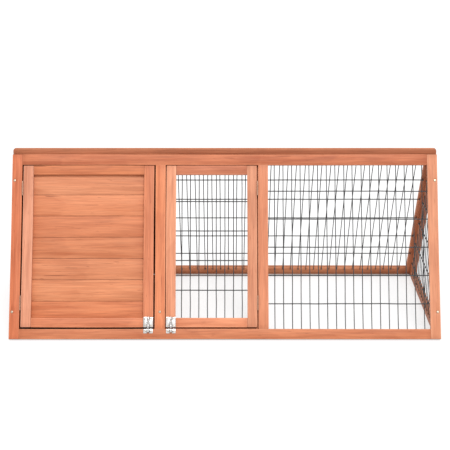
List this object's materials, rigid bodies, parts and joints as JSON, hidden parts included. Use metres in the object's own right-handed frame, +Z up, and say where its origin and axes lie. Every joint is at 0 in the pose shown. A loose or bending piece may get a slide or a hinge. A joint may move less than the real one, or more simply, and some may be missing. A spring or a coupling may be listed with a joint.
{
  "type": "rabbit hutch",
  "caption": "Long triangular wooden rabbit hutch: a boarded house with a hinged door, a hinged wire door and a wire run, each door shut by a barrel bolt.",
  "frame": {"origin": "middle of the footprint, on the ground", "axes": "+X along the ridge from the house towards the run, +Y to the back, +Z up"},
  "size_m": [1.2, 0.5, 0.4835],
  "materials": {
    "frame_wood": "orange-brown stained fir, matte",
    "board_wood": "orange-brown stained fir boards, matte",
    "ridge_wood": "orange-brown stained fir, matte",
    "black_wire": "black coated welded wire, satin",
    "hinge_steel": "dull plated steel",
    "bolt_zinc": "bright zinc plate",
    "screw_zinc": "zinc plate"
  },
  "bodies": {
    "hutch": {"frame_hardware_screws": "screw_zinc", "frame_staples": "screw_zinc", "front_bottom_rail": "frame_wood", "front_house_stile": "frame_wood", "front_left_stile": "frame_wood", "front_right_stile": "frame_wood", "front_run_mesh": "black_wire", "front_run_stile": "frame_wood", "front_top_rail": "frame_wood", "hinge_frame_leaves": "hinge_steel", "hinge_pins": "hinge_steel", "house_door_bolt_keeper": "bolt_zinc", "left_gable_boards": "board_wood", "left_gable_front_leg": "frame_wood", "left_gable_rear_leg": "frame_wood", "left_gable_sill": "frame_wood", "panel_screws": "screw_zinc", "partition_boards": "board_wood", "partition_front_leg": "frame_wood", "partition_rear_leg": "frame_wood", "partition_sill": "frame_wood", "rear_bottom_rail": "frame_wood", "rear_left_stile": "frame_wood", "rear_middle_stile": "frame_wood", "rear_right_stile": "frame_wood", "rear_run_mesh": "black_wire", "rear_top_rail": "frame_wood", "rear_wall_boards": "board_wood", "ridge_board": "ridge_wood", "right_gable_front_leg": "frame_wood", "right_gable_mesh": "black_wire", "right_gable_rear_leg": "frame_wood", "right_gable_sill": "frame_wood", "run_door_bolt_keeper": "bolt_zinc", "run_door_stops": "frame_wood"},
    "house_door": {"house_door_board_1": "board_wood", "house_door_board_2": "board_wood", "house_door_board_3": "board_wood", "house_door_board_4": "board_wood", "house_door_board_5": "board_wood", "house_door_board_6": "board_wood", "house_door_board_7": "board_wood", "house_door_bolt_plate": "bolt_zinc", "house_door_bottom_rail": "frame_wood", "house_door_hinge_leaves": "hinge_steel", "house_door_hinge_stile": "frame_wood", "house_door_latch_stile": "frame_wood", "house_door_screws": "screw_zinc", "house_door_top_rail": "frame_wood"},
    "run_door": {"run_door_bolt_plate": "bolt_zinc", "run_door_bottom_rail": "frame_wood", "run_door_hinge_leaves": "hinge_steel", "run_door_hinge_stile": "frame_wood", "run_door_latch_stile": "frame_wood", "run_door_mesh": "black_wire", "run_door_screws": "screw_zinc", "run_door_staples": "screw_zinc", "run_door_top_rail": "frame_wood"},
    "house_bolt": {"house_door_bolt": "bolt_zinc"},
    "run_bolt": {"run_door_bolt": "bolt_zinc"}
  },
  "joints": [
    {"name": "house_door_hinge", "type": "hinge", "parent": "hutch", "child": "house_door", "pos_m": [-0.57, -0.13286, 0.23977], "axis": [0, -0.4512, -0.8924], "range_deg": [0, 170]},
    {"name": "run_door_hinge", "type": "hinge", "parent": "hutch", "child": "run_door", "pos_m": [0.092, -0.13286, 0.23977], "axis": [0, 0.4512, 0.8924], "range_deg": [0, 170]},
    {"name": "house_bolt_slide", "type": "slide", "parent": "house_door", "child": "house_bolt", "axis": [0, 0.4512, 0.8924], "range_m": [-0.0075, 0.004]},
    {"name": "run_bolt_slide", "type": "slide", "parent": "run_door", "child": "run_bolt", "axis": [0, 0.4512, 0.8924], "range_m": [-0.0075, 0.004]}
  ]
}
